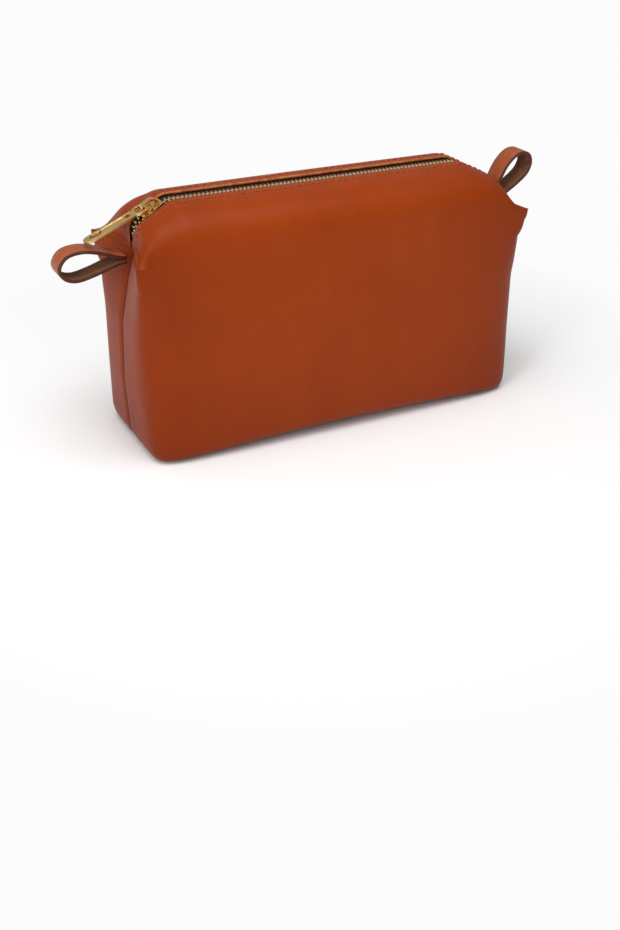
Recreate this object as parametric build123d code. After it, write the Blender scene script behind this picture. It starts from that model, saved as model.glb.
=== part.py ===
from build123d import *
import os
from math import cos, radians, sin, tan

# Zip-top leather pouch with boxed corners: X is its length, the front faces -Y and Z is up.
# The origin lies on the floor under the middle of the bag. All sizes are millimetres.

os.makedirs("parts", exist_ok=True)

# Hide: one cowhide folded under the base and sewn up the middle of each end
hide_thickness = 1.8
half_length = 120.0          # middle to a boxed corner tip
half_depth = 35.0            # middle to a boxed corner tip
shoulder_height = 112.0      # floor to the fold where the top begins
end_seam_inset = 12.5        # how far the top of the end seam lies behind the corner tips
shoulder_bulge = 3.5         # outward bow of the shoulder fold at mid length
shoulder_gap = 0.5           # clear gap between the hide and the top leather that folds on it

# Zipper line, seen from the front
ridge_height = 134.0         # floor to the middle of the teeth along the straight top
zip_end_inset = 12.9         # middle of the teeth at the zipper's ends, behind the corner tips
zip_end_height = 113.4
ramp_angle = 30.0            # slope of the short ramp between the top and each end
ramp_length = 21.6
ramp_bend_radius = 9.0

# Top leather beside the zipper
mouth_half_gap = 6.8         # middle of the teeth to the leather edge
mouth_end_half_gap = 1.3
mouth_end_taper = 20.0       # length over which the leather edges draw together
lip_rise = 0.6               # underside of the leather above the middle of the teeth

# Woven zipper tape and its metal teeth
tape_thickness = 0.55
tape_inner_gap = 0.9         # middle to the woven edge that carries the teeth
tape_tuck = 3.0              # tape that reaches under the leather
crimp_gap = 0.16             # between the tape and the jaws crimped over it
jaw_depth_gap = 0.34         # between the tape's edge and the floor of the jaws
tooth_pitch = 2.4
tooth_width = 1.05           # along the zipper
tooth_height = 1.9
tooth_reach = 3.0            # middle to the outer end of a tooth
tooth_overlap = 0.45         # how far a tooth passes the middle
teeth_end_margin = 7.0       # bare stretch at each end of the zipper
row_spread = 1.85            # how far each row steps aside round the slider's wedge
tail_spread = 0.7            # the same for the open teeth past the slider
stop_length = 2.6
bottom_stop_width = 2.8

# Slider
slider_length = 13.0
slider_front_half_width = 5.9
slider_rear_half_width = 4.3
slider_wall = 0.85
plate_thickness = 1.1
channel_half_height = 1.25
tape_slot_half_height = 0.55
wedge_length = 4.6
mouth_relief = 0.3           # by which the open mouth is narrower than the channel
wedge_width = 2.2
cap_width = 3.8
cap_length = 10.0
cap_height = 4.6
cap_thickness = 1.1
cap_pocket_length = 5.6

# Puller
puller_length = 38.0
puller_width = 7.4
puller_ring_width = 10.6
puller_ring_length = 10.5
puller_thickness = 1.6
puller_rim = 1.0
puller_recess = 0.35
puller_window_length = 3.4
puller_hole_length = 7.0
puller_angle = 23.0          # how far the puller's free end hangs below level

# Strap loops at the ends
strap_thickness = 1.9
strap_width = 13.0
loop_length = 40.0
loop_hinge_inset = 5.6       # hinge line of a loop behind the corner tips
loop_hinge_height = 107.5
loop_crotch_share = 0.085    # share of the outline, from the root, where the two strands part
left_loop_angle = -3.0
right_loop_angle = 46.0


def write(name, shape):
    shape.label = name
    export_step(shape, f"parts/{name}.step")


def hide_outline(height, corner_x, corner_y, seam_x, side_bow, end_bow, corner_radius):
    """Closed outline of the bag at one height: bowed sides, ends that dip in to the seam."""
    with BuildSketch(Plane.XY.offset(height)) as sketch:
        with BuildLine():
            for side in (-1, 1):
                ThreePointArc((-corner_x, side * corner_y), (0, side * (corner_y + side_bow)),
                              (corner_x, side * corner_y))
                for end in (-1, 1):
                    middle_x = end * ((corner_x + seam_x) / 2 + end_bow)
                    ThreePointArc((end * corner_x, side * corner_y), (middle_x, side * corner_y / 2),
                                  (end * seam_x, 0))
        make_face()
        corners = [v for v in sketch.vertices() if abs(v.Y) > corner_y / 2]
        fillet(corners, corner_radius)
    return sketch.sketch


# Each row: height, corner x, corner y, seam x, bow of the sides, bow of the ends, corner radius
seam_top_x = half_length - end_seam_inset
rim_height = shoulder_height - shoulder_gap
hide_rows = [
    (0.0, half_length - 10.0, half_depth + 2.5, half_length - 10.5, 0.5, 1.0, 6.0),
    (1.6, half_length - 6.6, half_depth + 5.4, half_length - 7.4, 0.8, 1.2, 6.5),
    (6.0, half_length - 4.6, half_depth + 6.8, half_length - 4.4, 1.2, 1.6, 8.0),
    (38.0, half_length - 2.8, half_depth + 6.0, half_length - 1.6, 2.6, 2.0, 14.0),
    (72.0, half_length - 1.4, half_depth + 3.6, half_length - 2.2, 3.4, 2.0, 14.0),
    (98.0, half_length - 0.5, half_depth + 1.2, half_length - 6.8, 3.6, 1.2, 8.0),
    (rim_height, half_length, half_depth, seam_top_x, shoulder_bulge, 0.6, 4.0),
]


def hide_body():
    """The hollow body: walls and base of one thickness, open at the shoulder."""
    outside = loft([hide_outline(*row) for row in hide_rows], ruled=True)
    inside_rows = []
    for height, corner_x, corner_y, seam_x, side_bow, end_bow, radius in hide_rows:
        lifted = height + hide_thickness * max(0.0, 1 - height / hide_rows[2][0])
        inside_rows.append((lifted, corner_x - hide_thickness, corner_y - hide_thickness,
                            seam_x - hide_thickness, side_bow, end_bow, radius - hide_thickness / 2))
    inside = loft([hide_outline(*row) for row in inside_rows], ruled=True)
    mouth = extrude(hide_outline(*inside_rows[-1]), amount=shoulder_gap)
    return outside - inside - mouth


def zipper_line():
    """Middle line of the teeth from the left end over the top to the right end."""
    end_x = half_length - zip_end_inset
    ramp_x = end_x - ramp_length * cos(radians(ramp_angle))
    ramp_foot = ridge_height - ramp_length * sin(radians(ramp_angle))
    points = [(-end_x, zip_end_height), (-end_x, ramp_foot), (-ramp_x, ridge_height),
              (ramp_x, ridge_height), (end_x, ramp_foot), (end_x, zip_end_height)]
    with BuildLine(Plane.XZ) as line:
        FilletPolyline(*points, radius=ramp_bend_radius)
    wire = line.wire()
    start = wire.position_at(0)
    return wire if start.X < 0 else Wire(wire.edges()[::-1])


zip_line = zipper_line()
zip_length = zip_line.length
foot_turn = radians(90 - ramp_angle)
foot_tangent = ramp_bend_radius * tan(foot_turn / 2)
top_tangent = ramp_bend_radius * tan(radians(ramp_angle) / 2)
upright_length = ridge_height - ramp_length * sin(radians(ramp_angle)) - zip_end_height - foot_tangent
ramp_straight = ramp_length - foot_tangent - top_tangent
slider_station = upright_length + ramp_bend_radius * foot_turn + ramp_straight / 2


def place_on_zip(station):
    """Plane across the zipper: its x runs to the back, its y out of the bag, its z along the teeth."""
    at = station / zip_length
    return Plane(origin=zip_line.position_at(at), x_dir=(0, 1, 0), z_dir=zip_line.tangent_at(at))


def leather_half_gap(station):
    """Half the opening between the leather edges, drawn together at both ends."""
    from_end = min(station, zip_length - station)
    share = min(1.0, from_end / mouth_end_taper)
    eased = 1 - (1 - share) ** 2
    return mouth_end_half_gap + (mouth_half_gap - mouth_end_half_gap) * eased


def shoulder_point(share, side):
    """Point on the shoulder fold, share 0 to 1 from the left corner tip to the right one."""
    across = 2 * share - 1
    x = (half_length - 1.0) * across
    y = half_depth + (shoulder_bulge - 0.4) * (1 - across ** 2) - 0.4
    return Vector(x, side * y, shoulder_height)


def top_lip(side):
    """Top leather of one side, from its shoulder fold to its edge beside the teeth."""
    rows = []
    stations = 48
    for i in range(stations + 1):
        share = i / stations
        plane = place_on_zip(share * zip_length)
        edge = plane.from_local_coords((side * leather_half_gap(share * zip_length), lip_rise, 0))
        fold = shoulder_point(share, side)
        reach = abs(fold.Y) - abs(edge.Y)
        bend = Vector(edge.X, edge.Y + side * 0.72 * reach, edge.Z)
        steps = 6
        rows.append([edge * (1 - j / steps) ** 2 + bend * (2 * j / steps * (1 - j / steps))
                     + fold * (j / steps) ** 2 for j in range(steps + 1)])
    sheet = Face.make_surface_from_array_of_points(rows, tol=0.05)
    up = sheet.normal_at().Z > 0
    return Solid.thicken(sheet, hide_thickness if up else -hide_thickness)


def zip_tape(side):
    """Woven tape of one side, as a flat band that runs along the teeth and under the leather."""
    rows = []
    stations = 140
    margin = 1.5
    for i in range(stations + 1):
        station = margin + (zip_length - 2 * margin) * i / stations
        plane = place_on_zip(station)
        inner = tape_inner_gap + spread_at(station)
        outer = max(leather_half_gap(station) + tape_tuck, inner + 2.0)
        middle = side * (inner + outer) / 2
        with BuildSketch(plane) as sketch:
            with Locations((middle, 0)):
                Rectangle(outer - inner, tape_thickness)
        rows.append(sketch.sketch)
    return loft(rows, ruled=True)


def spread_at(station):
    """Sideways step of a row of teeth: none where they mesh, widest round the slider's wedge."""
    from_slider = station - slider_station
    if from_slider > 1.5:
        return 0.0
    if from_slider > -2.0:
        return row_spread * (1.5 - from_slider) / 3.5
    if from_slider > -slider_length / 2 - 0.5:
        return row_spread
    share = min(1.0, (-from_slider - slider_length / 2 - 0.5) / 5.0)
    return row_spread + (tail_spread - row_spread) * share


def tooth(side):
    """One tooth lying across the zipper: a slim leg, a wide head and a nose past the middle."""
    head = tooth_width
    leg = tooth_width * 0.62
    half = [(-tooth_overlap, head * 0.36), (0.15, head / 2), (1.25, head / 2),
            (1.7, leg / 2), (tooth_reach - 0.35, leg / 2)]
    points = half + [(x, -z) for x, z in reversed(half)]
    points.insert(len(half), (tooth_reach, 0))
    outline = [(side * x, z) for x, z in points]
    with BuildPart() as part:
        with BuildSketch(Plane.XZ.offset(-tooth_height / 2)):
            Polygon(*outline, align=None)
        extrude(amount=tooth_height)
        with Locations((side * (tape_inner_gap - jaw_depth_gap + tooth_reach), 0, 0)):
            Box(2 * tooth_reach, tape_thickness + 2 * crimp_gap, 2 * tooth_pitch, mode=Mode.SUBTRACT)
    return part.part


def tooth_stations(side):
    first = teeth_end_margin + (0 if side < 0 else tooth_pitch / 2)
    last = zip_length - teeth_end_margin
    count = int((last - first) / tooth_pitch) + 1
    return [first + i * tooth_pitch for i in range(count)]


def tooth_row(side):
    pattern = tooth(side)
    teeth = []
    for station in tooth_stations(side):
        plane = place_on_zip(station)
        teeth.append(plane.location * Pos(side * spread_at(station), 0, 0) * pattern)
    return Compound(children=[Solid(t.solids()[0].wrapped) for t in teeth])


def top_stop(side):
    """Stop crimped over the inner edge of one tape, past the last open tooth."""
    station = teeth_end_margin - stop_length
    width = 1.7
    step = spread_at(station)
    block = Pos(side * (step + 0.4 + width / 2), 0, 0) * Box(width, tooth_height, stop_length * 0.8)
    slot_inner = step + tape_inner_gap - crimp_gap
    slot = Pos(side * (slot_inner + width), 0, 0) * Box(2 * width, tape_thickness + 2 * crimp_gap,
                                                       2 * stop_length)
    return place_on_zip(station).location * (block - slot)


def bottom_stop():
    """Stop clamped across both tapes at the closed end."""
    width = bottom_stop_width
    block = Box(width, tooth_height, stop_length * 0.8)
    for side in (-1, 1):
        block -= Pos(side * (tape_inner_gap - crimp_gap + width), 0, 0) * Box(
            2 * width, tape_thickness + 2 * crimp_gap, 2 * stop_length)
    return place_on_zip(zip_length - teeth_end_margin + stop_length).location * block


def slider_outline(inset):
    """Plan of the slider: wide shoulders at the front, narrow at the rear where the teeth mesh."""
    front = slider_length / 2
    wide = slider_front_half_width - inset
    narrow = slider_rear_half_width - inset
    return [(-front + inset, -wide + 1.4), (-front + 2.2, -wide), (-front + 4.6, -wide + 0.2),
            (front - inset, -narrow), (front - inset, narrow),
            (-front + 4.6, wide - 0.2), (-front + 2.2, wide), (-front + inset, wide - 1.4)]


def slider_body():
    """Two plates with turned side walls, joined by the wedge that parts the teeth."""
    top = channel_half_height + plate_thickness
    with BuildPart() as part:
        with BuildSketch(Plane.XY.offset(-top)):
            Polygon(*slider_outline(0), align=None)
        extrude(amount=2 * top)
        with BuildSketch(Plane.XY.offset(-channel_half_height)):
            Polygon(*slider_outline(slider_wall), align=None)
            with Locations((slider_length / 2, 0), (-slider_length / 2, 0)):
                Rectangle(4.0, 2 * (slider_rear_half_width - slider_wall))
            with Locations((-slider_length / 2, 0)):
                Rectangle(3.4, 2 * (slider_front_half_width - slider_wall) - mouth_relief)
        extrude(amount=2 * channel_half_height, mode=Mode.SUBTRACT)
        Box(2 * slider_length, 4 * slider_front_half_width, 2 * tape_slot_half_height, mode=Mode.SUBTRACT)
        wedge_x = -slider_length / 2 + 1.2
        with BuildSketch(Plane.XY.offset(-channel_half_height)):
            Polygon((wedge_x, -wedge_width * 0.3), (wedge_x + 1.6, -wedge_width / 2),
                    (wedge_x + wedge_length, 0), (wedge_x + 1.6, wedge_width / 2),
                    (wedge_x, wedge_width * 0.3), align=None)
        extrude(amount=2 * channel_half_height)
    return part.part


def slider_cap():
    """Arched cover on the top plate; the puller's bar swings in the pocket under it."""
    foot = channel_half_height + plate_thickness
    half = cap_length / 2
    with BuildPart() as part:
        with BuildSketch(Plane.XZ.offset(-cap_width / 2)) as sketch:
            with BuildLine():
                Line((-half, foot), (half, foot))
                ThreePointArc((half, foot), (half - 1.3, foot + cap_height * 0.78),
                              (half - 4.0, foot + cap_height))
                Line((half - 4.0, foot + cap_height), (-half + 3.2, foot + cap_height * 0.96))
                ThreePointArc((-half + 3.2, foot + cap_height * 0.96),
                              (-half + 0.9, foot + cap_height * 0.72), (-half, foot))
            make_face()
            with Locations((cap_shift, foot + (cap_height - cap_thickness) / 2)):
                SlotOverall(cap_pocket_length, cap_height - cap_thickness - 0.1, mode=Mode.SUBTRACT)
        extrude(amount=cap_width)
        with Locations((spring_place, 0, foot)):
            Box(spring_thickness + 0.2, spring_width + 0.2, 2 * spring_height + 0.2, mode=Mode.SUBTRACT)
    return part.part


cap_shift = 0.0
spring_thickness = 0.5
spring_width = 1.8
spring_height = 1.6
spring_place = cap_length / 2 - 1.3
pivot_height = channel_half_height + plate_thickness + (cap_height - cap_thickness) / 2


def lock_spring():
    """Locking pin and its leaf, which stand on the top plate inside the cover's rear foot."""
    foot = channel_half_height + plate_thickness
    return Pos(spring_place, 0, foot + spring_height / 2) * Box(spring_thickness, spring_width,
                                                               spring_height)


def puller():
    """Flat pull: ring round the cover's bar, window, recessed plate and a hole at the free end."""
    bar = 1.7
    ring_back = 0.85
    neck = puller_ring_length
    with BuildPart() as part:
        with BuildSketch() as plan:
            with Locations((-puller_ring_length / 2 + ring_back, 0)):
                RectangleRounded(puller_ring_length, puller_ring_width, 4.2)
            with Locations((-(neck + puller_length) / 2 + ring_back, 0)):
                RectangleRounded(puller_length - neck + 4.0, puller_width, 3.2)
            with Locations((-puller_ring_length / 2 + ring_back + 0.0, 0)):
                RectangleRounded(puller_ring_length - 2 * bar, puller_ring_width - 3.2, 2.7,
                                 mode=Mode.SUBTRACT)
            with Locations((-neck - puller_window_length / 2 - 0.2, 0)):
                RectangleRounded(puller_window_length, puller_width - 3.4, 0.6, mode=Mode.SUBTRACT)
            with Locations((-puller_length + puller_hole_length / 2 + 1.8 + ring_back, 0)):
                SlotOverall(puller_hole_length, puller_width - 3.0, mode=Mode.SUBTRACT)
        extrude(amount=puller_thickness / 2, both=True)
        plate_start = -neck - puller_window_length - 1.0
        plate_end = -puller_length + puller_hole_length + 3.2
        for level in (puller_thickness / 2 - puller_recess, -puller_thickness / 2):
            with BuildSketch(Plane.XY.offset(level)):
                with Locations(((plate_start + plate_end) / 2, 0)):
                    Rectangle(plate_start - plate_end, puller_width - 2 * puller_rim)
            extrude(amount=puller_recess, mode=Mode.SUBTRACT)
    return part.part


def strap_loop():
    """Teardrop loop of strap: its root is the origin and it reaches along +X."""
    root = strap_thickness
    upper = [(0, root), (12, 6.2), (24, 9.4), (34, 8.4), (loop_length, 2.0)]
    lower = [(loop_length - 2.4, -4.2), (30, -7.2), (20, -6.0), (10, -3.4), (0, -root)]
    outer = Spline(*upper, *lower)
    outside = make_face(outer + ThreePointArc((0, -root), (-root, 0), (0, root)))
    eye_points = []
    for i in range(13):
        share = loop_crotch_share + (1 - 2 * loop_crotch_share) * i / 12
        along = outer % share
        eye_points.append(outer @ share + Vector(along.Y, -along.X) * strap_thickness)
    crotch = (eye_points[0] + eye_points[-1]) / 2 - Vector(1.4, 0)
    eye = make_face(Spline(*eye_points) + ThreePointArc(eye_points[-1], crotch, eye_points[0]))
    ring = Plane.XZ.offset(-strap_width / 2) * (outside - eye)
    return extrude(ring, amount=strap_width).solid()


write("leather_body", hide_body())
write("front_lip", top_lip(-1))
write("back_lip", top_lip(1))
write("zip_tape_front", zip_tape(-1))
write("zip_tape_back", zip_tape(1))
write("teeth_front", tooth_row(-1))
write("teeth_back", tooth_row(1))
write("top_stop_front", top_stop(-1))
write("top_stop_back", top_stop(1))
write("bottom_stop", bottom_stop())

slider_middle = place_on_zip(slider_station).origin
slider_place = Location(slider_middle, (0, -ramp_angle, 0))
write("slider_body", slider_place * slider_body())
write("slider_cap", slider_place * slider_cap())
write("lock_spring", slider_place * lock_spring())
pivot = (slider_place * Pos(cap_shift, 0, pivot_height)).position
write("puller", Location(pivot, (0, -puller_angle, 0)) * puller())

loop_x = half_length - loop_hinge_inset
write("loop_right", Location((loop_x, 0, loop_hinge_height), (0, -right_loop_angle, 0)) * strap_loop())
left_loop = mirror(Location((loop_x, 0, loop_hinge_height), (0, -left_loop_angle, 0)) * strap_loop(), about=Plane.YZ)
write("loop_left", left_loop)
arch_rise = ridge_height - slider_middle.Z
arch_radius = (slider_middle.X ** 2 + arch_rise ** 2) / (2 * arch_rise)
print("slider middle", slider_middle, "centre of its travel", ridge_height - arch_radius)
print("puller pivot", pivot, "ramp straight", ramp_straight, "zip length", zip_length)
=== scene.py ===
import math
import bpy
import numpy as np
from mathutils import Matrix, Vector


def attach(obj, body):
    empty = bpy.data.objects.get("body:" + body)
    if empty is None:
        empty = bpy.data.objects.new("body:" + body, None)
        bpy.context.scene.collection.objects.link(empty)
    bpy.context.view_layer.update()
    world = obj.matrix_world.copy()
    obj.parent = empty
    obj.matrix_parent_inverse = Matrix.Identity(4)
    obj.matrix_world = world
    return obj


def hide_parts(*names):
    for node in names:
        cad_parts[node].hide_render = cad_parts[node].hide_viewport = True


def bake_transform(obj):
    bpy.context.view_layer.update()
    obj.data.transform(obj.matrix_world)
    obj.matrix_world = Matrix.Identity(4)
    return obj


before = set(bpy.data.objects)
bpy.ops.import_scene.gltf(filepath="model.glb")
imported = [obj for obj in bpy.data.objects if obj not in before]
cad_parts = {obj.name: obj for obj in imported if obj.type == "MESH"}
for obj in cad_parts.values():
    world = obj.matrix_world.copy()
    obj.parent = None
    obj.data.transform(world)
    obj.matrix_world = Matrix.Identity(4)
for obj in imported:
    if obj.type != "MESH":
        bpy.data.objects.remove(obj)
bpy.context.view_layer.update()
mm = 0.001

# Sizes of the pouch and its zipper in metres, the same as their solids have
pouch = {
    "halfLength": 120.0 * mm,
    "halfDepth": 35.0 * mm,
    "shoulder": 112.0 * mm,
    "seamDip": 12.5 * mm,
    "hide": 1.8 * mm,
    "bow": 3.5 * mm,
}
zipper = {
    "ridge": 134.0 * mm,
    "endX": 107.1 * mm,
    "endHeight": 113.4 * mm,
    "rampAngle": math.radians(30),
    "rampLength": 21.6 * mm,
    "bend": 9.0 * mm,
    "halfGap": 6.8 * mm,
    "endGap": 1.3 * mm,
    "taper": 20.0 * mm,
    "pitch": 2.4 * mm,
    "margin": 7.0 * mm,
    "sliderX": -96.54 * mm,
    "slider": 13.0 * mm,
    "spread": 1.85 * mm,
    "tail": 0.7 * mm,
    "nearby": 0.4 * mm,  # how far either way the line's direction is read
}
# Where the mouth bends open: fixed at both ends of the zipper, fully open from openFrom to openTo
mouth = {
    "left": -106.0 * mm,
    "openFrom": -62.0 * mm,
    "split": -40.0 * mm,
    "openTo": 30.0 * mm,
    "right": 110.0 * mm,
}


# Linear colour of a six-digit hex colour
def srgb(code):
    parts = [int(code[i:i + 2], 16) / 255 for i in (0, 2, 4)]
    return [p / 12.92 if p <= 0.04045 else ((p + 0.055) / 1.055) ** 2.4 for p in parts] + [1.0]


# Gives sockets of a node a plain value, or a link from a Value or another socket
def fillSockets(tree, node, sockets):
    for key, item in sockets.items():
        source = item.socket if isinstance(item, Value) else item
        if isinstance(source, bpy.types.NodeSocket):
            tree.links.new(source, node.inputs[key])
        else:
            node.inputs[key].default_value = source


# Any node: its type, its settings, which are set first, and the values or links of its sockets
def addNode(tree, kind, settings, sockets):
    node = tree.nodes.new("ShaderNode" + kind)
    for key, setting in settings.items():
        setattr(node, key, setting)
    fillSockets(tree, node, sockets)
    return node


# Shader maths: a number that varies over a surface; sums and products with it add Math nodes
class Value:
    def __init__(self, tree, socket):
        self.tree = tree
        self.socket = socket

    def maths(self, operation, first, second, clamp=False):
        settings = {"operation": operation, "use_clamp": clamp}
        node = addNode(self.tree, "Math", settings, {0: first, 1: second})
        return Value(self.tree, node.outputs[0])

    def __add__(self, other):
        return self.maths("ADD", self, other)

    def __radd__(self, other):
        return self.maths("ADD", other, self)

    def __sub__(self, other):
        return self.maths("SUBTRACT", self, other)

    def __rsub__(self, other):
        return self.maths("SUBTRACT", other, self)

    def __mul__(self, other):
        return self.maths("MULTIPLY", self, other)

    def __rmul__(self, other):
        return self.maths("MULTIPLY", other, self)

    # From 0 at low to 1 at high in a straight line, and level beyond them
    def ramp(self, low, high):
        return self.maths("MULTIPLY", self - low, 1.0 / (high - low), clamp=True)


# A Principled material, with short calls for its textures, colour mixes and bump
class Material:
    def __init__(self, name, colour, roughness, metallic=0.0, specular=0.5):
        self.item = bpy.data.materials.new(name)
        self.item.use_nodes = True
        self.tree = self.item.node_tree
        self.shader = self.tree.nodes["Principled BSDF"]
        self.finish({"Base Color": colour, "Roughness": roughness})
        self.finish({"Metallic": metallic, "Specular IOR Level": specular})
        self.place = addNode(self.tree, "TexCoord", {}, {}).outputs["Object"]

    def finish(self, sockets):
        fillSockets(self.tree, self.shader, sockets)

    # One output of a new node, as a Value
    def read(self, kind, settings, sockets, output):
        node = addNode(self.tree, kind, settings, sockets)
        return Value(self.tree, node.outputs[output])

    def axis(self, letter):
        return self.read("SeparateXYZ", {}, {0: self.place}, letter)

    def noise(self, scale, detail=3.0, roughness=0.5, stretch=None):
        place = self.place
        if stretch:
            mapping = addNode(self.tree, "Mapping", {}, {"Vector": place, "Scale": stretch})
            place = mapping.outputs[0]
        sockets = {"Vector": place, "Scale": scale, "Detail": detail, "Roughness": roughness}
        return self.read("TexNoise", {}, sockets, "Fac")

    def cells(self, scale):
        sockets = {"Vector": self.place, "Scale": scale}
        return self.read("TexVoronoi", {"feature": "F1"}, sockets, "Distance")

    def wave(self, scale, direction):
        sockets = {"Vector": self.place, "Scale": scale}
        return self.read("TexWave", {"bands_direction": direction}, sockets, "Fac")

    # The colour a share of the way from low to high
    def mix(self, share, low, high):
        sockets = {"Factor": share, "A": low, "B": high}
        return addNode(self.tree, "Mix", {"data_type": "RGBA"}, sockets).outputs["Result"]

    def bump(self, height, distance, strength):
        sockets = {"Height": height, "Distance": distance, "Strength": strength}
        self.finish({"Normal": addNode(self.tree, "Bump", {}, sockets).outputs[0]})


# Smooth dyed cowhide: cloudy dye, faint pores, satin gloss that breaks up a little, with painted shade
# towards the ends and the base and in the valleys of the end seams
hideLook = {
    "deep": "903505", "warm": "983904", "pale": "A2460D",
    # The darkest two tones here are painted shade: one darkens the ends and the base, the other the
    # valleys of the end seams
    "speck": "6B2508", "shadeTone": "6A2000", "fold": "451504",
    "rough": 0.42, "specular": 0.12,
    # Where the painted shade falls: towards the ends, towards the base, and across the valleys of the end
    # seams
    "shadeToneFrom": 50 * mm, "shadeToneTo": 118 * mm, "baseHeight": 50 * mm,
    "seamShadeCore": 0.5 * mm, "seamShadeReach": 1.6 * mm,
    "endFrom": 101 * mm, "endTo": 105 * mm,
    "poreDepth": 0.00011,
}


def hideMaterial():
    made = Material("smooth cowhide", srgb(hideLook["warm"]), hideLook["rough"],
                    specular=hideLook["specular"])
    cloud = made.noise(22, 4, 0.55).ramp(0.34, 0.68)
    speck = made.noise(900, 2, 0.6).ramp(0.35, 0.7)
    streak = made.noise(70, 3, 0.5, (1.0, 1.0, 0.35)).ramp(0.42, 0.72)
    base = made.mix(cloud * 0.6, srgb(hideLook["deep"]), srgb(hideLook["warm"]))
    tinted = made.mix(streak * 0.15, base, srgb(hideLook["pale"]))
    dyed = made.mix(speck * 0.10, tinted, srgb(hideLook["speck"]))
    across, along = made.axis("Y"), made.axis("X")
    # Painted shade: the colour darkens towards both ends and towards the base
    endShade = (along * along).ramp(hideLook["shadeToneFrom"] ** 2, hideLook["shadeToneTo"] ** 2)
    low = made.axis("Z").ramp(hideLook["baseHeight"], 0.0)
    dyed = made.mix(endShade * 0.4 + low * 0.3, dyed, srgb(hideLook["shadeTone"]))  # painted shade: ends and base are darker
    # Painted shade in the valley of each end seam: the colour darkens near the middle line at both ends
    valleyShade = (across * across).ramp(hideLook["seamShadeReach"] ** 2, hideLook["seamShadeCore"] ** 2)
    ends = (along * along).ramp(hideLook["endFrom"] ** 2, hideLook["endTo"] ** 2)
    shaded = made.mix(valleyShade * ends * 0.85, dyed, srgb(hideLook["fold"]))  # painted shade in the valleys of the end seams
    made.finish({"Base Color": shaded})
    made.finish({"Roughness": cloud * 0.06 + speck * 0.05 + (hideLook["rough"] - 0.05)})
    pores = made.cells(1400).ramp(0.05, 0.5)
    grain = made.noise(520, 4, 0.6)
    made.bump(pores * 0.35 + grain * 0.65, hideLook["poreDepth"], 0.5)
    return made.item


def strapMaterial():
    made = Material("strap leather", srgb("9A4A22"), 0.46, specular=0.4)
    cloud = made.noise(60, 4, 0.6).ramp(0.3, 0.72)
    made.finish({"Base Color": made.mix(cloud, srgb("8A3C17"), srgb("A5562B"))})
    made.finish({"Roughness": cloud * 0.10 + 0.40})
    made.bump(made.noise(620, 4, 0.6), 0.00012, 0.5)
    return made.item


# Raw inside of the hide: matt, fibrous and greyish brown
def fleshMaterial():
    made = Material("raw flesh side", srgb("6E4A33"), 0.88, specular=0.2)
    fibre = made.noise(420, 5, 0.7, (1.0, 0.35, 1.0)).ramp(0.3, 0.72)
    blotch = made.noise(45, 3).ramp(0.35, 0.7)
    fibres = made.mix(fibre, srgb("543322"), srgb("84583C"))
    made.finish({"Base Color": made.mix(blotch * 0.5, fibres, srgb("8C6547"))})
    made.bump(fibre, 0.00022, 0.8)
    return made.item


# Cut edges: painted dark on the straps; beside the zipper burnished and lighter, the pale tone partly the
# edge's own and partly a painted highlight along its bevel
def edgeMaterial(name, dark, light, rough):
    made = Material(name, srgb(dark), rough, specular=0.35)
    fleck = made.noise(380, 3, 0.6).ramp(0.3, 0.75)
    made.finish({"Base Color": made.mix(fleck, srgb(dark), srgb(light))})
    made.bump(made.noise(700, 3, 0.6), 0.0001, 0.4)
    return made.item


# Woven tape: fine ribs both ways in dark brown yarn
def tapeMaterial():
    made = Material("woven tape", srgb("2A130A"), 0.8, specular=0.25)
    yarn = (made.wave(560, "X") * 0.6 + made.wave(760, "Y") * 0.4).ramp(0.2, 0.85)
    fuzz = made.noise(900, 3).ramp(0.35, 0.7)
    made.finish({"Base Color": made.mix(yarn * 0.7 + fuzz * 0.3, srgb("150804"), srgb("45210F"))})
    made.bump(yarn, 0.00012, 0.7)
    return made.item


# Metal: a cloudy film between two tones, and fine scratches
def metalMaterial(name, pale, warm, rough, brushed=0.0):
    made = Material(name, srgb(pale), rough, 1.0)
    film = made.noise(120, 4, 0.6).ramp(0.35, 0.72)
    made.finish({"Base Color": made.mix(film, srgb(pale), srgb(warm))})
    scratch = made.noise(2600, 2, 0.5, (0.2, 1.0, 0.2))
    made.finish({"Roughness": film * 0.06 + scratch * brushed + rough})
    made.bump(scratch, 0.000006, 0.1 + brushed)
    return made.item


def threadMaterial():
    made = Material("waxed thread", srgb("8E4318"), 0.6, specular=0.2)
    twist = made.noise(1500, 2, 0.5, (1.0, 0.3, 1.0)).ramp(0.35, 0.7)
    made.finish({"Base Color": made.mix(twist, srgb("743210"), srgb("A85626"))})
    made.bump(twist, 0.00008, 0.6)
    return made.item


look = {
    "hide": hideMaterial(),
    "strap": strapMaterial(),
    "flesh": fleshMaterial(),
    "strapEdge": edgeMaterial("painted strap edge", "3C1408", "5C2610", 0.42),
    # The zipper edge's lighter tone is partly its burnished colour and partly a painted highlight along
    # the bevel
    "zipEdge": edgeMaterial("burnished zipper edge with painted highlight", "8C431B", "C47840", 0.38),
    "tape": tapeMaterial(),
    "teeth": metalMaterial("bright teeth", "FFEBC0", "F2D596", 0.26),
    "polished": metalMaterial("polished gold", "F0D38A", "DDB45C", 0.13),
    "satin": metalMaterial("brushed plate", "F0D692", "DDBD70", 0.2, 0.1),
    "steel": metalMaterial("spring steel", "B9B9B9", "9A9A9A", 0.3),
    "thread": threadMaterial(),
}
print("materials ready")


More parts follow.
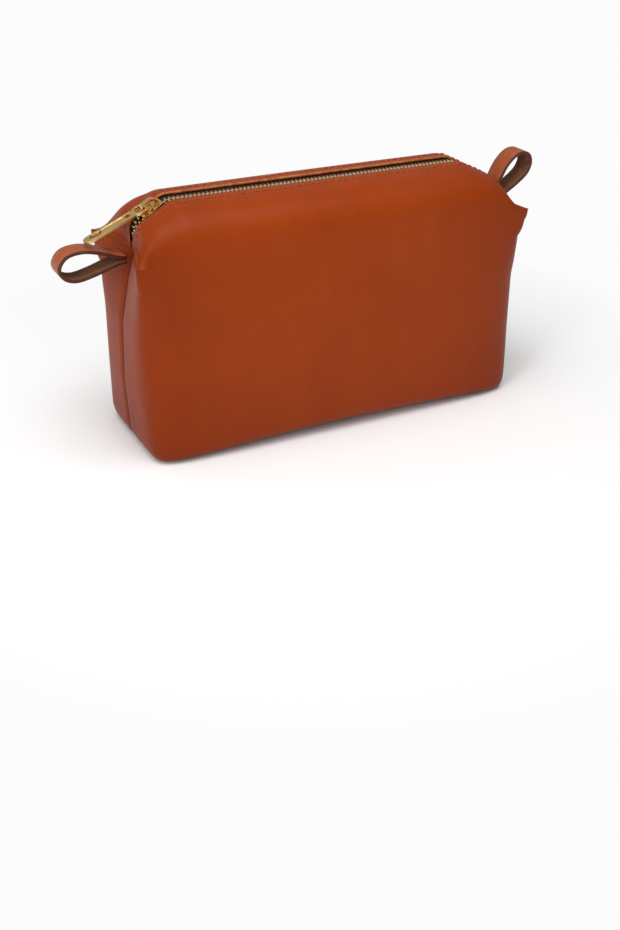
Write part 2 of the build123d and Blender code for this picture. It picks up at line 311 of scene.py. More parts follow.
# A mesh object from points and faces; slots gives each face's material number
def meshPiece(name, points, faces, materials, slots=None, smooth=True, normals=None):
    mesh = bpy.data.meshes.new(name)
    mesh.from_pydata(np.asarray(points).reshape(-1, 3).tolist(), [], np.asarray(faces).tolist())
    for item in materials:
        mesh.materials.append(item)
    if slots is not None:
        mesh.polygons.foreach_set("material_index", np.asarray(slots, dtype=np.int32))
    mesh.polygons.foreach_set("use_smooth", np.full(len(mesh.polygons), smooth))
    mesh.update()
    if normals is not None:
        mesh.normals_split_custom_set_from_vertices(np.asarray(normals).tolist())
    made = bpy.data.objects.new(name, mesh)
    bpy.context.scene.collection.objects.link(made)
    return made


# Vectors scaled to a length of 1
def unit(vectors):
    return vectors / np.maximum(np.linalg.norm(vectors, axis=-1, keepdims=True), 1e-12)


# Distance walked along a line of points, from 0 at its first
def walkAlong(line):
    return np.r_[0, np.cumsum(np.linalg.norm(np.diff(line, axis=0), axis=1))]


# Points of a line at given distances along it
def pointsAt(spots, walk, line):
    return np.stack([np.interp(spots, walk, line[:, k]) for k in range(line.shape[1])], -1)


# Unit normals of a grid of points: its step along the rows crossed with its step across them
def gridNormals(grid, closed=False):
    along = np.gradient(grid, axis=1)
    if closed:
        along = np.roll(grid, -1, axis=1) - np.roll(grid, 1, axis=1)
    return unit(np.cross(along, np.gradient(grid, axis=0)))


# Quads between neighbouring points of a grid, turned so that they face along the given normals
def gridQuads(points, outward, closed=False):
    rows, columns = points.shape[:2]
    index = np.arange(rows * columns).reshape(rows, columns)
    if closed:
        index = np.hstack([index, index[:, :1]])
    quads = np.stack([index[:-1, :-1], index[:-1, 1:], index[1:, 1:], index[1:, :-1]], -1).reshape(-1, 4)
    flat = points.reshape(-1, 3)
    facing = np.cross(flat[quads[:, 2]] - flat[quads[:, 0]], flat[quads[:, 3]] - flat[quads[:, 1]])
    agrees = (facing * outward.reshape(-1, 3)[quads[:, 0]]).sum() >= 0
    return quads if agrees else quads[:, ::-1]


# Quads of tubes whose points are indexed by ring and place round the ring, in the last two axes
def tubeQuads(index):
    after = np.roll(index, -1, axis=-1)
    quads = [index[..., :-1, :], after[..., :-1, :], after[..., 1:, :], index[..., 1:, :]]
    return np.stack(quads, -1).reshape(-1, 4)


# Rounded cut edge: half an ellipse from the outer to the inner line, swelling away from the sheet
def edgeBand(outer, inner, away, swell):
    turns = np.linspace(0, math.pi, 7)[:, None, None]
    middle, reach = (outer + inner) / 2, (outer - inner) / 2
    band = middle + reach * np.cos(turns) + away * swell * np.sin(turns)
    half = np.linalg.norm(reach, axis=1, keepdims=True)
    return band, unit(reach / half * np.cos(turns) + away * np.sin(turns) * 0.8)


# Leather of real thickness: an outer face, an inner face one thickness below, and a rounded band
# along each open edge, each with its own points and normals. An edge of None has no band
def thickSheet(grid, normals, thickness, closed=False, edges=(2, 2, 2, 2), swell=0.35 * mm):
    inner = grid - normals * thickness
    parts = [(grid, normals, 0, closed), (inner, -normals, 1, closed)]
    rims = [(grid[0], grid[1], inner[0], edges[0]), (grid[-1], grid[-2], inner[-1], edges[1])]
    if not closed:
        rims.append((grid[:, 0], grid[:, 1], inner[:, 0], edges[2]))
        rims.append((grid[:, -1], grid[:, -2], inner[:, -1], edges[3]))
    for line, beside, under, slot in rims:
        if slot is not None:
            band, facing = edgeBand(line, under, unit(line - beside), swell)
            parts.append((band, facing, slot, closed))
    points, faces, slots, facings, base = [], [], [], [], 0
    for spots, facing, slot, around in parts:
        quads = gridQuads(spots, facing, around)
        points.append(spots.reshape(-1, 3))
        facings.append(facing.reshape(-1, 3))
        faces.append(quads + base)
        slots.append(np.full(len(quads), slot))
        base += spots.shape[0] * spots.shape[1]
    return np.concatenate(points), np.concatenate(faces), np.concatenate(slots), np.concatenate(facings)


# Both sheets that meet at the shoulder's fold share its normal, square to the bowed line and
# leaning a little upward, so that the light runs over it; this fades out at the corner tips
fold = {"lean": 0.11, "fadeX": 119 * mm, "fadeOver": 8 * mm, "sideY": 30 * mm, "sideOver": 4 * mm,
        "below": 14 * mm, "above": 12 * mm}


def shareFold(grid, normals, side, near):
    near = near * np.clip((fold["fadeX"] - np.abs(grid[..., 0])) / fold["fadeOver"], 0, 1)
    bend = 2 * pouch["bow"] * grid[..., 0] / pouch["halfLength"] ** 2
    shared = unit(np.stack([bend, np.full_like(bend, side), np.full_like(bend, fold["lean"])], -1))
    return unit(normals * (1 - near[..., None]) + shared * near[..., None])


# The zipper's middle line as x and z: up from its end, round a bend, up a short ramp, round onto
# the straight top, and the same down again. Each bend is an arc that touches both of its runs
def zipLine():
    rampX = zipper["endX"] - zipper["rampLength"] * math.cos(zipper["rampAngle"])
    footZ = zipper["ridge"] - zipper["rampLength"] * math.sin(zipper["rampAngle"])
    half = [(zipper["endX"], zipper["endHeight"]), (zipper["endX"], footZ), (rampX, zipper["ridge"])]
    corners = np.array([(-x, z) for x, z in half] + half[::-1])
    share = np.linspace(0, 1, 13)[:, None]
    runs = [corners[:1]]
    for before, corner, after in zip(corners, corners[1:], corners[2:]):
        back, ahead = unit(before - corner), unit(after - corner)
        halfAngle = math.acos(np.clip(back @ ahead, -1, 1)) / 2
        middle = corner + unit(back + ahead) * zipper["bend"] / math.sin(halfAngle)
        start = corner + back * zipper["bend"] / math.tan(halfAngle) - middle
        stop = corner + ahead * zipper["bend"] / math.tan(halfAngle) - middle
        turn = math.pi - 2 * halfAngle
        arc = np.sin((1 - share) * turn) * start + np.sin(share * turn) * stop
        runs.append(middle + arc / math.sin(turn))
    line = np.vstack(runs + [corners[-1:]])
    return line, walkAlong(line)


zipPoints, zipSteps = zipLine()
zipTotal = float(zipSteps[-1])
sliderStation = float(np.interp(zipper["sliderX"], zipPoints[:, 0], zipSteps))
splitStation = float(np.interp(mouth["split"], zipPoints[:, 0], zipSteps))


# Point, tangent and outward normal of the line at distances from its left end, as x and z
def zipPlace(station):
    station = np.atleast_1d(np.asarray(station, float))
    before, here, after = [pointsAt(np.clip(station + step, 0, zipTotal), zipSteps, zipPoints)
                           for step in (-zipper["nearby"], 0, zipper["nearby"])]
    tangent = unit(after - before)
    return here, tangent, np.stack([-tangent[:, 1], tangent[:, 0]], 1)


# Points beside and above the line, as x, y, z
def onZip(station, sideways, rise):
    place, _, normal = zipPlace(station)
    spot = place + normal * rise
    return np.stack([spot[:, 0], sideways, spot[:, 1]], 1)


# Half the opening between the leather edges, drawn together at both ends by a parabola
def halfGap(station):
    share = np.clip(np.minimum(station, zipTotal - station) / zipper["taper"], 0, 1)
    return zipper["endGap"] + (zipper["halfGap"] - zipper["endGap"]) * (1 - (1 - share) ** 2)


# Sideways step of a row of teeth: none where they mesh, widest round the slider's wedge, and
# less again past the slider
wedge = {"from": 1.5 * mm, "over": 3.5 * mm, "past": 0.5 * mm, "pastOver": 5 * mm}


def rowSpread(station):
    ahead = np.asarray(station) - sliderStation
    reach = zipper["slider"] / 2 + wedge["past"]
    parted = np.clip((wedge["from"] - ahead) / wedge["over"], 0, 1) * zipper["spread"]
    past = np.clip((-ahead - reach) / wedge["pastOver"], 0, 1)
    return parted + past * (zipper["tail"] - zipper["spread"])


# Body: a lofted shell that swells between its corners and dips in at the end seams
bodyRows = {
    "height": np.array([0.0, 1.2, 4.0, 9.0, 38.0, 72.0, 96.0, 106.0, 112.0]) * mm,
    "cornerX": np.array([110.5, 113.6, 115.2, 116.2, 117.6, 118.8, 119.6, 120.0, 120.0]) * mm,
    "cornerY": np.array([37.8, 40.4, 41.6, 42.0, 41.4, 38.9, 36.6, 35.7, 35.2]) * mm,
    "seamX": np.array([110.0, 113.4, 115.4, 116.8, 118.6, 117.4, 112.6, 109.6, 107.5]) * mm,
    "sideBow": np.array([0.2, 0.6, 1.0, 1.3, 2.4, 3.2, 3.6, 3.6, 3.5]) * mm,
    "squareness": np.array([13.0, 11.0, 10.0, 9.0, 7.0, 7.0, 11.0, 30.0, 130.0]),
}
bodyShape = {
    "rings": 40,
    "endPoints": 26,
    "sidePoints": 60,
    "fineSteps": 700,
    "crowding": 1.5,  # gathers the points at the corners
    "taper": 1.15,
    "hold": 6,  # keeps the dip to the end, off the long side
    "groove": 1.5 * mm,
    "grooveWidth": 1.1 * mm,
    "grooveRise": 12,
    "baseLift": 4.6 * mm,
    "liftHeight": 16 * mm,
    "baseInsets": (0.96, 0.8, 0.5, 0.15),  # rings of the base; the last one leaves its middle open
    "baseDish": 0.6 * mm,
    "centre": (0, 0, 50 * mm),
}


# One ring of the body, share 0 at the floor to 1 at the shoulder: a rounded rectangle by the rule
# (x/a)^n + (y/b)^n = 1, with bowed long sides and ends drawn in to the seam by a taper and a groove
def bodyOutline(share):
    z = share * bodyRows["height"][-1]
    pick = {key: np.interp(z, bodyRows["height"], row) for key, row in bodyRows.items()}
    power = pick["squareness"]
    reach = np.linspace(0, 0.5 ** (1 / power), bodyShape["fineSteps"])  # from a middle to the corner
    curved = (1 - reach ** power) ** (1 / power)
    x = np.r_[curved, reach[::-1][1:]] * pick["cornerX"]
    y = np.r_[reach, curved[::-1][1:]] * pick["cornerY"]
    down = np.clip(1 - y / pick["cornerY"], 0, 1) ** bodyShape["taper"]
    x = x - (pick["cornerX"] - pick["seamX"]) * down * (x / pick["cornerX"]) ** bodyShape["hold"]
    deep = bodyShape["groove"] * min(1.0, share * bodyShape["grooveRise"])
    x = x - deep * np.exp(-y / bodyShape["grooveWidth"])
    y = y + pick["sideBow"] * (1 - (x / pick["cornerX"]) ** 2)
    walk = walkAlong(np.stack([x, y], 1))
    corner = walk[len(reach) - 1]
    endSteps = 1 - np.linspace(1, 0, bodyShape["endPoints"]) ** bodyShape["crowding"]
    sideSteps = np.linspace(0, 1, bodyShape["sidePoints"]) ** bodyShape["crowding"]
    spots = np.r_[endSteps * corner, (corner + sideSteps * (walk[-1] - corner))[1:]]
    quarter = pointsAt(spots, walk, np.stack([x, y], 1))
    front = np.concatenate([-quarter, (quarter * [1, -1])[::-1][1:]])
    ring = np.concatenate([front, (front * [1, -1])[::-1][1:-1]])
    across = 1 - (ring[:, 0] / pick["cornerX"]) ** 2
    arch = bodyShape["baseLift"] * across * math.exp(-(z / bodyShape["liftHeight"]) ** 2)
    return np.column_stack([ring, z + arch])


# Shares of the height from 0 to 1, packed closer at the base and at the shoulder
def heightShares():
    steps = np.linspace(0, 1, bodyShape["rings"])
    eased = 0.45 * (steps - 0.5) - 0.5 * 0.55 * np.cos(math.pi * steps)
    return (eased - eased[0]) / (eased[-1] - eased[0])


# Outer skin of the body with its base and its raw inside
def buildBody():
    rings = [bodyOutline(share) for share in heightShares()]
    floorRing = rings[0]
    for inset in bodyShape["baseInsets"]:
        height = floorRing[:, 2] * (0.5 + 0.5 * inset) + bodyShape["baseDish"] * (1 - inset)
        rings.insert(0, np.column_stack([floorRing[:, :2] * inset, height]))
    grid = np.array(rings)
    normals = gridNormals(grid, closed=True)
    if ((grid - bodyShape["centre"]) * normals).sum() < 0:
        normals = -normals
    below = np.exp(-((pouch["shoulder"] - grid[..., 2]) / fold["below"]) ** 2)
    for side in (-1, 1):
        near = below * np.clip((side * grid[..., 1] - fold["sideY"]) / fold["sideOver"], 0, 1)
        normals = shareFold(grid, normals, side, near)
    points, faces, slots, facings = thickSheet(grid, normals, pouch["hide"], closed=True,
                                               edges=(0, 2), swell=0)
    materials = [look["hide"], look["flesh"], look["hide"]]
    body = meshPiece("hideBody", points, faces, materials, slots, normals=facings)
    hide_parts("leather_body")
    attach(body, "bag")


# A left and a right piece of something on one side of the mouth, each with its transform baked into its
# points
def halves(side, build):
    name = "front" if side < 0 else "back"
    left = build(side, name + "Left", True)
    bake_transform(left)
    right = build(side, name + "Right", False)
    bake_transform(right)


# Columns of the left or the right half; both hold the column at the split
def halfColumns(cut, isLeft):
    return slice(0, cut + 1) if isLeft else slice(cut, None)


lipShape = {
    "rows": 22, "columns": 181,
    "lift": 0.6 * mm,  # of the leather's underside over the tape's line
    "cornerInset": 0.5 * mm, "proud": 0.2 * mm,
    "pullAtEnds": 0.5, "morePull": 0.33, "pullFrom": 0.82, "pullOver": 0.18,
    "swell": 5 * mm, "swellFrom": 0.76, "swellOver": 0.24,
    "thinOver": 7 * mm, "thinnest": 0.25, "edgeSwell": 0.3 * mm,
}


# Top leather of one side: a curved sheet from the shoulder to the leather edge, each line of it a
# parabola that leaves the edge level and meets the shoulder nearly upright
def lipGrid(side, rows=lipShape["rows"], columns=lipShape["columns"]):
    share = np.linspace(0, 1, columns)
    station = share * zipTotal
    edge = onZip(station, side * halfGap(station), lipShape["lift"] + pouch["hide"])
    across = 2 * share - 1
    lengthwise = (pouch["halfLength"] - lipShape["cornerInset"]) * across
    depth = pouch["halfDepth"] + lipShape["proud"] + pouch["bow"] * (1 - across ** 2)
    corner = np.stack([lengthwise, side * depth, np.full(columns, pouch["shoulder"])], 1)
    soft = 1 - np.clip((np.abs(across) - lipShape["pullFrom"]) / lipShape["pullOver"], 0, 1)
    pull = lipShape["pullAtEnds"] + lipShape["morePull"] * soft
    towardsTip = np.clip((np.abs(across) - lipShape["swellFrom"]) / lipShape["swellOver"], 0, 1)
    bend = edge.copy()
    bend[:, 1] += pull * (corner[:, 1] - edge[:, 1])
    bend[:, 2] += lipShape["swell"] * np.sin(math.pi * towardsTip)  # fills the hollow by the tips
    t = np.linspace(0, 1, rows)[:, None, None]
    return corner * (1 - t) ** 2 + bend * 2 * t * (1 - t) + edge * t ** 2


# Normals of the whole top leather, facing up and out, with the fold's shared ones on its first row
def lipNormals(side, grid):
    normals = gridNormals(grid)
    if normals[grid.shape[0] // 2, grid.shape[1] // 2, 2] <= 0:
        normals = -normals
    climb = np.cumsum(np.linalg.norm(np.diff(grid, axis=0), axis=2), axis=0)
    climb = np.vstack([np.zeros(grid.shape[1]), climb])
    return shareFold(grid, normals, side, np.exp(-(climb / fold["above"]) ** 2))


def buildLip(side, name, isLeft):
    grid = lipGrid(side)
    normals = lipNormals(side, grid)
    use = halfColumns(int(round(splitStation / zipTotal * (grid.shape[1] - 1))), isLeft)
    share = np.linspace(0, 1, grid.shape[1])
    fromEnd = np.minimum(share, 1 - share) * zipTotal
    thin = np.clip(fromEnd / lipShape["thinOver"], lipShape["thinnest"], 1)[None, :, None]
    edges = (0, 2, 0, None) if isLeft else (0, 2, None, 0)
    points, faces, slots, facings = thickSheet(grid[:, use], normals[:, use],
                                               pouch["hide"] * thin[:, use],
                                               edges=edges, swell=lipShape["edgeSwell"])
    materials = [look["hide"], look["flesh"], look["zipEdge"]]
    lip = meshPiece("lip" + name, points, faces, materials, slots, normals=facings)
    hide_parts("front_lip" if side < 0 else "back_lip")
    return lip


# Tape: a thin woven sheet from beside the teeth to under the leather. The profile gives the share
# of its width and the height over the zipper's line, with a cord's ridge at the teeth
tapeShape = {
    "columns": 150, "endGap": 1.5 * mm, "inner": 0.9 * mm, "under": 3 * mm, "leastWidth": 2 * mm,
    "thickness": 0.5 * mm, "edgeSwell": 0.1 * mm,
    "profile": ((0.0, 0.0), (0.02, 0.30), (0.10, 0.42), (0.22, 0.25), (0.6, 0.24), (1.0, 0.22)),
}


def buildTape(side, name, isLeft):
    station = np.linspace(tapeShape["endGap"], zipTotal - tapeShape["endGap"], tapeShape["columns"])
    inner = tapeShape["inner"] + rowSpread(station)
    outer = np.maximum(halfGap(station) + tapeShape["under"], inner + tapeShape["leastWidth"])
    grid = np.array([onZip(station, side * (inner + (outer - inner) * share), rise * mm)
                     for share, rise in tapeShape["profile"]])
    grid = grid[:, halfColumns(int(np.argmin(np.abs(station - splitStation))), isLeft)]
    normals = gridNormals(grid)
    if np.mean(normals[:, -5:, 2]) <= 0:
        normals = -normals
    points, faces, slots, facings = thickSheet(grid, normals, tapeShape["thickness"],
                                               edges=(0, 0, 0, 0), swell=tapeShape["edgeSwell"])
    tape = meshPiece("tape" + name, points, faces, [look["tape"]] * 2, slots, normals=facings)
    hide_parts("zip_tape_front" if side < 0 else "zip_tape_back")
    return tape


tooth = {
    "width": 1.05 * mm, "leg": 0.66 * mm, "height": 1.9 * mm, "reach": 3.0 * mm, "nose": 0.45 * mm,
    "headEnd": 1.2 * mm, "legStart": 1.75 * mm, "legRound": 0.3 * mm,
}
# Rings of a bar from bottom to top: height, length and width as shares; the rims are drawn in
barLevels = np.array([(-0.5, 0.94, 0.78), (-0.36, 1.0, 1.0), (0.36, 1.0, 1.0), (0.5, 0.94, 0.78)])


# Bars set across the zipper at some stations. Half gives half of a bar's outline, as the distance
# from the middle line and the half width; the lids are strips of quads across the outline
def crimpedBars(name, side, stations, half):
    outline = np.array(half + [(x, -w) for x, w in half[::-1]])
    middle = outline.mean(0) * [1, 0]
    rings = middle + (outline - middle) * barLevels[:, None, 1:]
    place, tangent, normal = [item[:, None, None] for item in zipPlace(stations)]
    spots = place + tangent * rings[..., 1:] + normal * (barLevels[:, :1, None] * tooth["height"])
    sideways = side * (rings[..., 0] + rowSpread(stations)[:, None, None])
    points = np.stack([spots[..., 0], sideways, spots[..., 1]], -1)
    levels, count = rings.shape[:2]
    strip = np.arange(count // 2 - 1)
    lid = np.stack([strip, strip + 1, count - 2 - strip, count - 1 - strip], 1)
    walls = tubeQuads(np.arange(levels * count).reshape(levels, count))
    bar = np.concatenate([walls, lid + (levels - 1) * count, lid[:, ::-1]])
    if side > 0:
        bar = bar[:, ::-1]
    faces = bar + (np.arange(len(points)) * levels * count)[:, None, None]
    return meshPiece(name, points, faces.reshape(-1, 4), [look["teeth"]], smooth=False)


# Each tooth is a rounded bar with a wide head and a slim leg
def buildTeeth(side, name, isLeft):
    first = zipper["margin"] + (0 if side < 0 else zipper["pitch"] / 2)
    stations = np.arange(first, zipTotal - zipper["margin"], zipper["pitch"])
    stations = stations[(stations <= splitStation) == isLeft]
    head, leg, reach = tooth["width"] / 2, tooth["leg"] / 2, tooth["reach"]
    half = [(-tooth["nose"], head * 0.55), (0.0, head), (tooth["headEnd"], head),
            (tooth["legStart"], leg), (reach - tooth["legRound"], leg), (reach, leg * 0.5)]
    teeth = crimpedBars("teeth" + name, side, stations, half)
    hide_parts("teeth_front" if side < 0 else "teeth_back")
    return teeth


# The stop past the last open tooth: a short crimped bar
stopShape = {"back": 2.6 * mm, "start": 0.4 * mm, "end": 2.1 * mm, "round": 0.2 * mm,
             "rim": 0.7 * mm, "half": 1.0 * mm}


def buildStop(side, name):
    shape = stopShape
    half = [(shape["start"], shape["rim"]), (shape["start"] + shape["round"], shape["half"]),
            (shape["end"] - shape["round"], shape["half"]), (shape["end"], shape["rim"])]
    stop = crimpedBars(name, side, [zipper["margin"] - shape["back"]], half)
    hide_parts("top_stop_front" if side < 0 else "top_stop_back")
    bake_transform(stop)


stitch = {
    "fromEdge": 4.9 * mm, "pitch": 4.1 * mm, "length": 3.5 * mm, "radius": 0.46 * mm,
    "first": 6 * mm, "last": 9 * mm, "flat": 0.8, "bow": 1.25, "slant": 0.35 * mm,
    "sides": 8, "rings": 9, "gridRows": 41, "gridColumns": 481,
}


# A row of thread beside the leather edge: each stitch a short tube, bowed by the root of a sine,
# a little slanted, and sunk in the leather at both of its open ends
def buildStitches(side, name, isLeft):
    grid = lipGrid(side, stitch["gridRows"], stitch["gridColumns"])
    fromEdge = grid[::-1]
    gaps = np.cumsum(np.linalg.norm(np.diff(fromEdge, axis=0), axis=2), axis=0)
    gaps = np.vstack([np.zeros(grid.shape[1]), gaps])
    column = np.arange(grid.shape[1])
    row = np.clip((gaps < stitch["fromEdge"]).sum(0), 1, len(grid) - 1)
    before, after = gaps[row - 1, column], gaps[row, column]
    share = np.clip((stitch["fromEdge"] - before) / (after - before), 0, 1)[:, None]
    line = fromEdge[row - 1, column] * (1 - share) + fromEdge[row, column] * share
    up = lipNormals(side, grid)[::-1][row, column]
    walk = walkAlong(line)
    starts = np.arange(stitch["first"], walk[-1] - stitch["last"], stitch["pitch"])
    cutWalk = np.interp(splitStation / zipTotal, np.linspace(0, 1, len(walk)), walk)
    starts = starts[(starts + stitch["length"] / 2 <= cutWalk) == isLeft]
    along = np.linspace(0, 1, stitch["rings"])
    spots = starts[:, None] + stitch["length"] * along
    place = pointsAt(spots, walk, line)
    ahead = unit(pointsAt(spots + 0.2 * mm, walk, line) - place)
    out = pointsAt(spots, walk, up)
    out = unit(out - ahead * (out * ahead).sum(-1, keepdims=True))
    turn = 2 * math.pi * np.arange(stitch["sides"]) / stitch["sides"]
    lift = stitch["radius"] * (stitch["bow"] * np.sin(math.pi * along) ** 0.5 - 1.0)
    rise = lift[:, None] + stitch["radius"] * stitch["flat"] * np.sin(turn)
    aside = stitch["radius"] * np.cos(turn) + stitch["slant"] * (along[:, None] - 0.5)
    points = (place[:, :, None] + out[:, :, None] * rise[..., None]
              + np.cross(ahead, out)[:, :, None] * aside[..., None])
    faces = tubeQuads(np.arange(points.size // 3).reshape(points.shape[:3]))
    return meshPiece("thread" + name, points, faces, [look["thread"]])


# Strap loops: one strap doubled into a teardrop, smooth outside, raw inside, painted edges
loop = {
    "thickness": 1.9 * mm, "width": 13.0 * mm, "soft": 0.5 * mm, "nick": 0.12 * mm, "drop": 0.15 * mm,
    "upper": [(0, 1.0), (6, 2.7), (12, 5.2), (24, 8.4), (34, 7.4), (39.0, 1.9)],
    "lower": [(36.8, -3.6), (30, -6.2), (20, -5.0), (10, -2.6), (5, -1.5), (0, -1.0)],
    "leftTilt": math.radians(-3), "rightTilt": math.radians(46),
    "x": 114.4 * mm, "z": 107.5 * mm, "reach": 0.92, "steps": 90,
}


# Even points on a smooth curve through the given points (a Catmull-Rom curve)
def curveThrough(points, count):
    p = np.array(points, float)
    p = np.vstack([2 * p[0] - p[1], p, 2 * p[-1] - p[-2]])
    t = np.linspace(0, 1, 24, endpoint=False)[:, None]
    runs = []
    for a, b, c, d in zip(p, p[1:], p[2:], p[3:]):
        runs.append(0.5 * (2 * b + (c - a) * t + (2 * a - 5 * b + 4 * c - d) * t ** 2
                           + (3 * b - a - 3 * c + d) * t ** 3))
    line = np.vstack(runs + [p[-2:-1]])
    walk = walkAlong(line)
    return pointsAt(np.linspace(0, walk[-1], count), walk, line)


# Half of the strap's section, as places across its width and its thickness, and each side's slot:
# 0 the smooth outside, 1 the raw inside, 2 the painted edge. The other half is its opposite
def strapSection():
    w, t = loop["width"] / 2, loop["thickness"] / 2
    soft, nick, drop = loop["soft"], loop["nick"], loop["drop"]
    half = np.array([(-w + soft, t), (-w / 3, t), (w / 3, t), (w - soft, t),
                     (w - nick, t - drop), (w, t - soft), (w, -t + soft), (w - nick, -t + drop)])
    return np.concatenate([half, -half]), [0, 0, 0, 2, 2, 2, 2, 2, 1, 1, 1, 2, 2, 2, 2, 2]


def buildLoop(name, node, body, flip, tilt):
    line = curveThrough(loop["upper"] + loop["lower"], loop["steps"]) * mm * [loop["reach"], 1.0]
    tangent = unit(np.gradient(line, axis=0))
    outward = np.stack([-tangent[:, 1], tangent[:, 0]], 1)
    section, kinds = strapSection()
    turn = np.array([[math.cos(tilt), -math.sin(tilt)], [math.sin(tilt), math.cos(tilt)]])
    spots = (line[:, None] + outward[:, None] * section[None, :, 1:]) @ turn.T
    wide = np.broadcast_to(section[:, 0], spots.shape[:2])
    points = np.stack([flip * (loop["x"] + spots[..., 0]), wide, loop["z"] + spots[..., 1]], -1)
    index = np.arange(spots.shape[0] * spots.shape[1]).reshape(spots.shape[:2])
    rim = np.roll(index, 2, axis=1)[[0, -1]]  # of both cut ends, starting at a corner of the strap
    last = rim.shape[1] - 1
    strip = np.arange(last // 2)
    lids = [rim[:, strip], rim[:, strip + 1], rim[:, last - 1 - strip], rim[:, last - strip]]
    lids = np.stack(lids, -1)
    faces = np.concatenate([tubeQuads(index)[:, ::-1], lids[0], lids[1][:, ::-1]])
    if flip < 0:
        faces = faces[:, ::-1]
    slots = kinds * (len(line) - 1) + [2] * (2 * len(strip))
    strap = meshPiece(name, points, faces, [look["strap"], look["flesh"], look["strapEdge"]], slots)
    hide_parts(node)
    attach(strap, body)


# A CAD piece keeps its shape and gets softened edges and its metal
def finishMetal(node, material, bevel):
    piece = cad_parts[node]
    piece.data.materials.clear()
    piece.data.materials.append(material)
    weld = piece.modifiers.new("weld", "WELD")
    weld.merge_threshold = 0.00001
    if bevel:
        soften = piece.modifiers.new("soften", "BEVEL")
        soften.width = bevel
        soften.segments = 2
        soften.limit_method = "ANGLE"
        soften.angle_limit = math.radians(35)


cornerSeam = {"radius": 1.5 * mm, "halfDepth": 35.2 * mm, "inset": 0.9 * mm, "sink": 0.3 * mm,
              "thinFrom": 0.35, "thinTo": 2.2, "sides": 16}


# Rolled seam across the top of an end: a round bead from the corner tip to the zipper's end,
# halfway between the end wall's top and the end of the top leather, thinner at the tip
def buildCornerSeam(name, side, end):
    column = lipGrid(side)[:, 0 if end < 0 else -1]
    down = np.clip(1 - np.abs(column[:, 1]) / cornerSeam["halfDepth"], 0, 1)
    wall = end * (pouch["halfLength"] - pouch["seamDip"] * down ** bodyShape["taper"])
    line = np.stack([(column[:, 0] + wall) / 2 - end * cornerSeam["inset"], column[:, 1],
                     (column[:, 2] + pouch["shoulder"]) / 2 - cornerSeam["sink"]], 1)
    ahead = unit(np.gradient(line, axis=0))
    beside = unit(np.cross(ahead, [0, 0, 1.0]))
    above = unit(np.cross(beside, ahead))
    turns = np.linspace(0, 2 * math.pi, cornerSeam["sides"], endpoint=False)[None, :, None]
    swell = np.clip(np.linspace(cornerSeam["thinFrom"], cornerSeam["thinTo"], len(line)), 0, 1)
    facing = beside[:, None] * np.cos(turns) + above[:, None] * np.sin(turns)
    points = line[:, None] + facing * (cornerSeam["radius"] * swell)[:, None, None]
    quads = gridQuads(points, facing, True)
    bead = meshPiece(name, points, quads, [look["hide"]], normals=facing.reshape(-1, 3))
    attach(bead, "bag")


buildBody()
for side, sideName in ((-1, "Front"), (1, "Back")):
    for end, endName in ((-1, "Left"), (1, "Right")):
        buildCornerSeam("cornerSeam" + sideName + endName, side, end)
print("body ready")
for side, sideName in ((-1, "Front"), (1, "Back")):
    for build in (buildLip, buildTape, buildTeeth, buildStitches):
        halves(side, build)
    buildStop(side, "stop" + sideName)
print("zipper ready")
buildLoop("loopLeft", "loop_left", "left_loop", -1, loop["leftTilt"])
buildLoop("loopRight", "loop_right", "right_loop", 1, loop["rightTilt"])
print("strap loops ready")
finishMetal("slider_body", look["polished"], 0.18 * mm)
finishMetal("slider_cap", look["polished"], 0.18 * mm)
finishMetal("puller", look["satin"], 0.16 * mm)
finishMetal("bottom_stop", look["teeth"], 0.12 * mm)
finishMetal("lock_spring", look["steel"], 0)
print("metal ready")

# Stage: a pale floor under a bright sky, a wide soft light above and a weaker one from the left
stageLook = {
    "floorSize": 12, "floorDrop": 0.0004, "floor": "F6F6F6", "background": "FCFCFC",
    "glowFrom": 0.15, "glowTo": 0.30, "skyStrength": 0.42,
}
lamps = {
    "overhead": {"place": (-0.15, -0.25, 1.1), "aim": (0, 0, 0.06), "size": (1.0, 0.8), "power": 9},
    "left": {"place": (-1.1, -0.7, 0.55), "aim": (0, 0, 0.08), "size": (0.35, 0.7), "power": 7},
}


def addLamp(name, lamp):
    light = bpy.data.lights.new(name, "AREA")
    light.shape = "RECTANGLE"
    light.size, light.size_y = lamp["size"]
    light.energy = lamp["power"]
    made = bpy.data.objects.new(name, light)
    bpy.context.scene.collection.objects.link(made)
    made.location = lamp["place"]
    towards = Vector(lamp["aim"]) - Vector(lamp["place"])
    made.rotation_euler = towards.to_track_quat("-Z", "Y").to_euler()


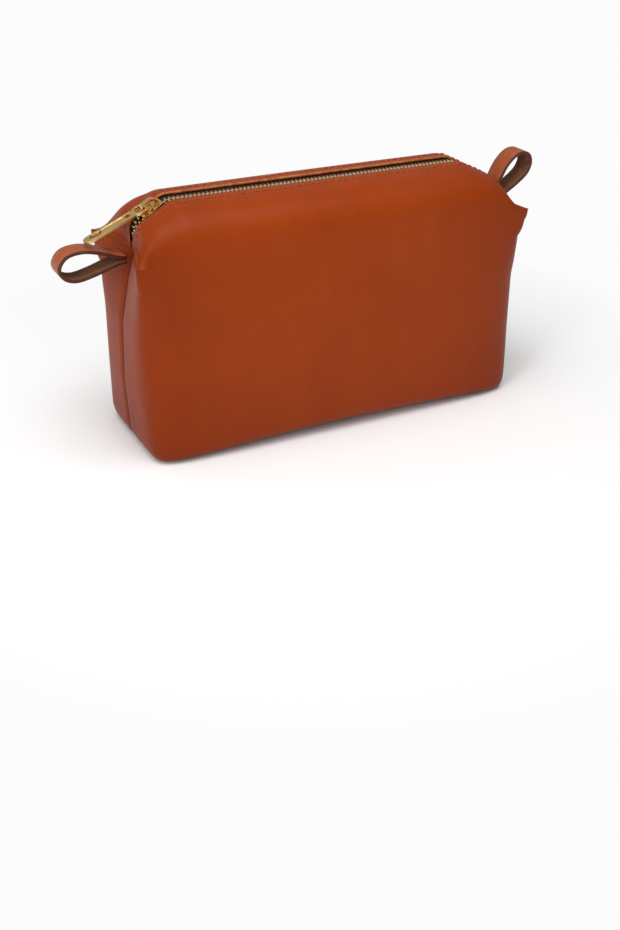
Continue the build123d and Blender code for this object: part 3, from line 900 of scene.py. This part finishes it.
# The floor is paper round the bag and glows like the background further out
def addFloor():
    bpy.ops.mesh.primitive_plane_add(size=stageLook["floorSize"], location=(0, 0, -stageLook["floorDrop"]))
    floor = bpy.context.object
    floor.name = "floor"
    paper = Material("paper floor", srgb(stageLook["floor"]), 0.9, specular=0.0)
    away = paper.read("VectorMath", {"operation": "LENGTH"}, {0: paper.place}, "Value")
    far = away.ramp(stageLook["glowFrom"], stageLook["glowTo"])
    glow = addNode(paper.tree, "Emission", {}, {"Color": srgb(stageLook["background"])})
    sockets = {0: far, 1: paper.shader.outputs[0], 2: glow.outputs[0]}
    both = addNode(paper.tree, "MixShader", {}, sockets)
    fillSockets(paper.tree, paper.tree.nodes["Material Output"], {"Surface": both.outputs[0]})
    floor.data.materials.append(paper.item)


# The camera sees the background's colour, and the bag is lit by a weaker white sky
def addSky():
    world = bpy.data.worlds.new("sky")
    world.use_nodes = True
    tree = world.node_tree
    sky = tree.nodes["Background"]
    fillSockets(tree, sky, {"Color": (1.0, 1.0, 1.0, 1.0), "Strength": stageLook["skyStrength"]})
    white = addNode(tree, "Background", {}, {"Color": srgb(stageLook["background"])})
    rays = addNode(tree, "LightPath", {}, {})
    sockets = {0: rays.outputs["Is Camera Ray"], 1: sky.outputs[0], 2: white.outputs[0]}
    pick = addNode(tree, "MixShader", {}, sockets)
    fillSockets(tree, tree.nodes["World Output"], {"Surface": pick.outputs[0]})
    bpy.context.scene.world = world


addFloor()
addSky()
for name, lamp in lamps.items():
    addLamp(name, lamp)

# Camera: fitted to the corners, zipper, slider and loops of the bag in the upper picture.
# The focal length is in pixels of an image of this width
camera = {
    "place": (-0.31206, -0.58861, 0.3281),
    "azimuth": -27.813,
    "elevation": 29.318,
    "roll": 0.933,
    "focal": 1227.3,
    "width": 620.0,
    "sensor": 36.0,
}


def makeCamera():
    data = bpy.data.cameras.new("camera")
    data.sensor_fit = "HORIZONTAL"
    data.sensor_width = camera["sensor"]
    data.lens = camera["focal"] / camera["width"] * data.sensor_width
    data.clip_start = 0.01
    made = bpy.data.objects.new("camera", data)
    bpy.context.scene.collection.objects.link(made)
    a, e = math.radians(camera["azimuth"]), math.radians(camera["elevation"])
    back = Vector((math.sin(a) * math.cos(e), -math.cos(a) * math.cos(e), math.sin(e)))
    right = Vector((math.cos(a), math.sin(a), 0))
    facing = Matrix((right, back.cross(right), back)).transposed()
    rolled = facing @ Matrix.Rotation(math.radians(camera["roll"]), 3, "Z")
    made.matrix_world = Matrix.Translation(camera["place"]) @ rolled.to_4x4()
    bpy.context.scene.camera = made


makeCamera()
print("stage and camera ready")
bpy.context.scene.view_settings.view_transform = "Standard"
